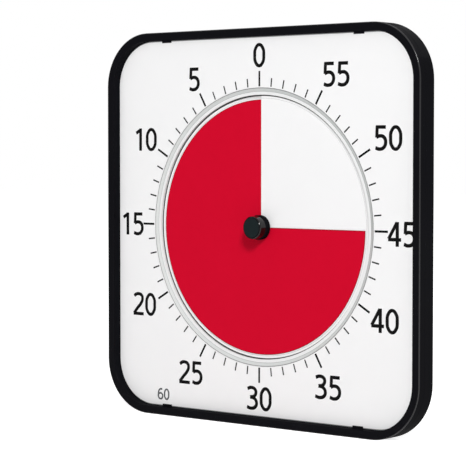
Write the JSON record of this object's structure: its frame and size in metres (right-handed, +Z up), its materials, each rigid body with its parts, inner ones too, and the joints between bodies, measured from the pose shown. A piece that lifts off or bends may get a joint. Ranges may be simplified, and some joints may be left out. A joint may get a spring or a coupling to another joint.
{
  "type": "visual countdown timer",
  "caption": "Large square countdown timer with rounded corners: a knob winds a red disc over a white dial in a black frame, with a drive, controls and fold-out feet behind.",
  "frame": {"origin": "on the table under the middle of the dial, in the plane of the card's face", "axes": "+Z up from the table, +Y from the face to the rear, +X to the right as seen from the front"},
  "size_m": [0.432, 0.096, 0.432],
  "materials": {
    "black_plastic": "satin black moulding",
    "knob_plastic": "gloss black moulding, matt face",
    "printed_card": "white card printed in black",
    "white_plastic": "white moulding",
    "grey_plastic": "grey moulding",
    "acetal": "natural moulding",
    "red_sheet": "thin red sheet",
    "steel": "zinc plated",
    "spring_steel": "nickel plated",
    "motor_can": "nickel plated",
    "magnet_plating": "nickel plated",
    "brass": "turned",
    "board_green": "solder mask",
    "part_black": "moulded",
    "cell_wrap": "dark sleeve",
    "lead_cover": "soft insulation",
    "soft_rubber": "matt"
  },
  "bodies": {
    "root": {"bezel": "black_plastic", "face_card": "printed_card", "card_panel": "grey_plastic", "dial_ring": "white_plastic", "dial_plate": "white_plastic", "rear_casing": "black_plastic", "rear_cover": "black_plastic", "drive_base": "grey_plastic", "drive_lid": "grey_plastic", "spindle_bush": "acetal", "idler_pin": "steel", "drive_motor": "motor_can", "circuit_board": "board_green", "selector_switch": "part_black", "volume_pot": "part_black", "alert_switch": "part_black", "timer_chip": "part_black", "crystal": "motor_can", "capacitor": "part_black", "sounder": "part_black", "battery_tray": "grey_plastic", "battery_cells": "cell_wrap", "battery_contacts": "spring_steel", "battery_springs": "spring_steel", "battery_lead": "lead_cover", "motor_lead": "lead_cover", "sounder_lead": "lead_cover", "magnets": "magnet_plating", "wall_hanger": "steel", "panel_screws": "steel", "cover_screws": "steel", "drive_screws": "steel", "board_screws": "steel", "foot_pins": "steel"},
    "dial": {"knob": "knob_plastic", "spindle": "steel", "centre_wheel": "acetal", "clutch_spring": "spring_steel", "clutch_collar": "brass"},
    "disc": {"red_disc": "red_sheet", "disc_hub": "white_plastic"},
    "idler": {"idler_wheel": "acetal"},
    "motor_rotor": {"motor_pinion": "brass"},
    "duration_selector": {"duration_knob": "knob_plastic"},
    "volume_dial": {"volume_knob": "knob_plastic"},
    "alert_slider": {"alert_lever": "knob_plastic"},
    "door": {"battery_door": "black_plastic"},
    "left_foot": {"foot_left": "black_plastic", "foot_pad_left": "soft_rubber"},
    "right_foot": {"foot_right": "black_plastic", "foot_pad_right": "soft_rubber"}
  },
  "joints": [
    {"name": "dial_turn", "type": "hinge", "parent": "root", "child": "dial", "pos_m": [0, 0, 0.216], "axis": [0, -1, 0], "range_deg": [-270, 90]},
    {"name": "disc_advance", "type": "slide", "parent": "dial", "child": "disc", "axis": [0, -1, 0], "range_m": [-0.00136, 0.00046]},
    {"name": "idler_turn", "type": "hinge", "parent": "root", "child": "idler", "pos_m": [0, 0.0206, 0.2412], "axis": [0, -1, 0], "range_deg": [-181, 541]},
    {"name": "motor_turn", "type": "hinge", "parent": "root", "child": "motor_rotor", "pos_m": [0.0126, 0.0206, 0.2412], "axis": [0, -1, 0], "range_deg": [-1081, 361]},
    {"name": "duration_turn", "type": "hinge", "parent": "root", "child": "duration_selector", "pos_m": [-0.062, 0.0366, 0.245], "axis": [0, 1, 0], "range_deg": [-60, 60]},
    {"name": "volume_turn", "type": "hinge", "parent": "root", "child": "volume_dial", "pos_m": [-0.062, 0.0366, 0.19], "axis": [0, 1, 0], "range_deg": [-150, 150]},
    {"name": "alert_slide", "type": "slide", "parent": "root", "child": "alert_slider", "axis": [0, 0, 1], "range_m": [0, 0.004]},
    {"name": "battery_door_hinge", "type": "hinge", "parent": "root", "child": "door", "pos_m": [0, 0.0366, 0.106], "axis": [-1, 0, 0], "range_deg": [0, 90]},
    {"name": "left_foot_swing", "type": "hinge", "parent": "root", "child": "left_foot", "pos_m": [-0.12, 0.0219, 0.008], "axis": [0, 0, -1], "range_deg": [0, 90]},
    {"name": "right_foot_swing", "type": "hinge", "parent": "root", "child": "right_foot", "pos_m": [0.12, 0.0219, 0.008], "axis": [0, 0, 1], "range_deg": [0, 90]}
  ],
  "couplings": [
    {"joint": "disc_advance", "follows": "dial_turn", "m_per_rad": 0.00028648},
    {"joint": "idler_turn", "follows": "dial_turn", "ratio": -2},
    {"joint": "motor_turn", "follows": "dial_turn", "ratio": 4}
  ]
}
